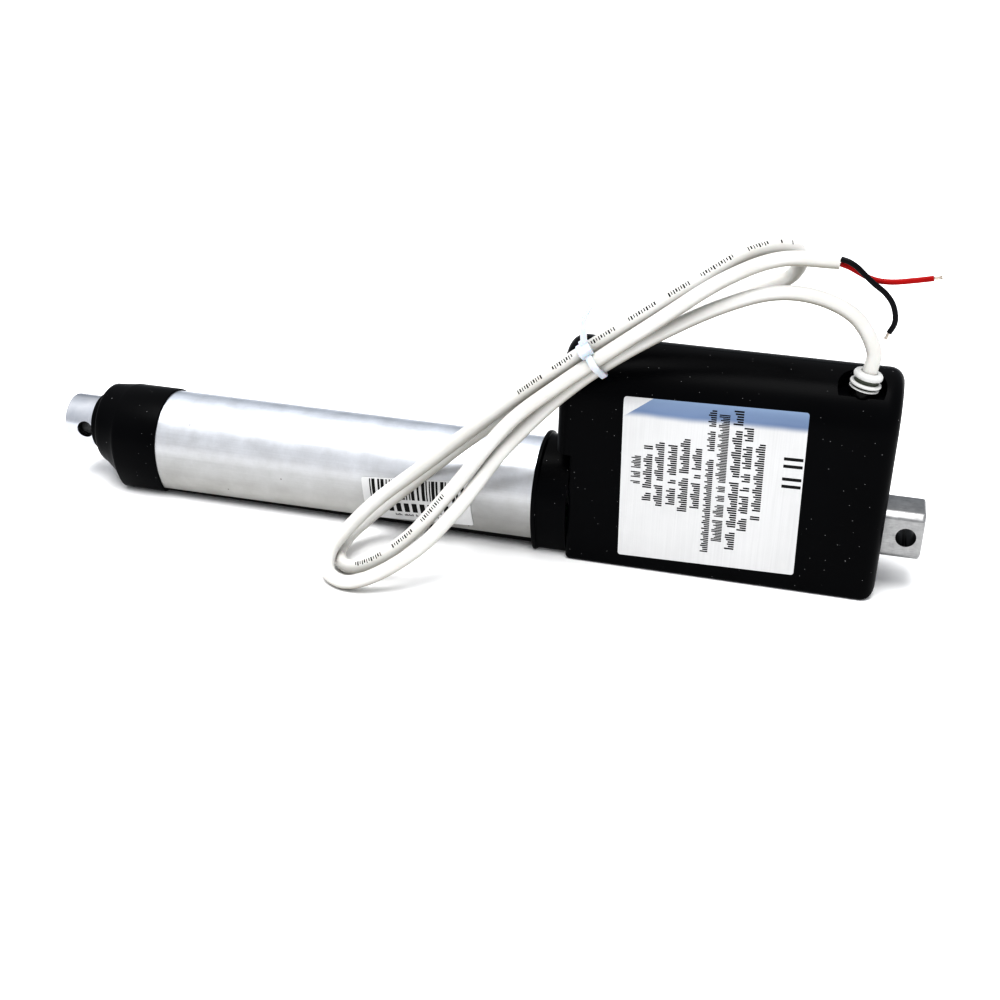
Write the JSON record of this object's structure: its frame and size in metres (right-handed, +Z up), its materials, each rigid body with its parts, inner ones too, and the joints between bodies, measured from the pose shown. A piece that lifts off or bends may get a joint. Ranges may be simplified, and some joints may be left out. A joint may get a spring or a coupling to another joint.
{
  "type": "linear actuator",
  "caption": "Electric linear actuator: parallel motor in a black housing, aluminium outer tube, sliding rod, square rear mounting block and a tied two-wire cable.",
  "frame": {"origin": "centre of the bounding box of the actuator without its free cable, at the surface it lies on", "axes": "+X along the rod's line towards the rear mounting block, the rod extends along -X; the rating label faces -Y; +Z up, from the spindle to the motor"},
  "size_m": [0.3288, 0.0863, 0.1202],
  "materials": {
    "black_plastic": "satin black moulded plastic",
    "tube_alloy": "brushed extruded aluminium",
    "rod_metal": "polished rod",
    "block_alloy": "brushed aluminium bar",
    "steel": "machined steel",
    "cast_alloy": "cast alloy",
    "brass": "machined brass",
    "nylon": "natural nylon",
    "tie_nylon": "translucent white nylon",
    "gland_plastic": "white moulded plastic",
    "cable_jacket": "white satin cable jacket",
    "seal_rubber": "black seal rubber",
    "circuit_board": "green circuit board",
    "label_foil": "silver-white printed foil",
    "sticker_paper": "white printed paper",
    "red_insulation": "red wire insulation",
    "black_insulation": "black wire insulation",
    "copper_strand": "bare copper strands"
  },
  "bodies": {
    "housing": {"barcode_sticker": "sticker_paper", "bearing_carrier": "cast_alloy", "bearing_outer_race": "steel", "black_wire": "black_insulation", "black_wire_tip": "copper_strand", "cable": "cable_jacket", "cable_gland": "gland_plastic", "cable_tie": "tie_nylon", "front_cap": "black_plastic", "gearbox_plate": "steel", "guide_bush": "nylon", "housing_back_shell": "black_plastic", "housing_front_shell": "black_plastic", "housing_screw_1": "steel", "housing_screw_2": "steel", "housing_screw_3": "steel", "housing_screw_4": "steel", "housing_screw_5": "steel", "limit_switch_board": "circuit_board", "limit_switch_extended": "black_plastic", "limit_switch_retracted": "black_plastic", "motor_can": "steel", "motor_end_cap": "black_plastic", "motor_terminal_1": "brass", "motor_terminal_2": "brass", "mount_cross_pin": "steel", "outer_tube": "tube_alloy", "rating_label": "label_foil", "rear_mount_block": "block_alloy", "red_wire": "red_insulation", "red_wire_tip": "copper_strand", "reduction_shaft": "steel", "rod_wiper": "seal_rubber", "tube_collar": "black_plastic"},
    "rod": {"inner_rod": "rod_metal", "rod_end_plug": "block_alloy", "drive_nut": "nylon"},
    "spindle": {"lead_screw": "steel", "bearing_inner_race": "steel", "spindle_clip": "steel", "spindle_gear": "nylon"},
    "reduction_gear": {"reduction_wheel": "nylon", "reduction_pinion": "nylon"},
    "motor_rotor": {"motor_shaft": "steel", "motor_pinion": "brass"}
  },
  "joints": [
    {"name": "rod_slide", "type": "slide", "parent": "housing", "child": "rod", "axis": [-1, 0, 0], "range_m": [0, 0.2]},
    {"name": "spindle_spin", "type": "hinge", "parent": "housing", "child": "spindle", "pos_m": [0.114, 0, 0.0218], "axis": [1, 0, 0], "continuous": true},
    {"name": "reduction_gear_spin", "type": "hinge", "parent": "housing", "child": "reduction_gear", "pos_m": [0.112, 0, 0.0416], "axis": [1, 0, 0], "continuous": true},
    {"name": "motor_spin", "type": "hinge", "parent": "housing", "child": "motor_rotor", "pos_m": [0.109, 0, 0.0604], "axis": [1, 0, 0], "continuous": true}
  ],
  "couplings": [
    {"joint": "spindle_spin", "follows": "rod_slide", "rad_per_m": 1570.8},
    {"joint": "reduction_gear_spin", "follows": "rod_slide", "rad_per_m": -5340.7},
    {"joint": "motor_spin", "follows": "rod_slide", "rad_per_m": 22550}
  ]
}
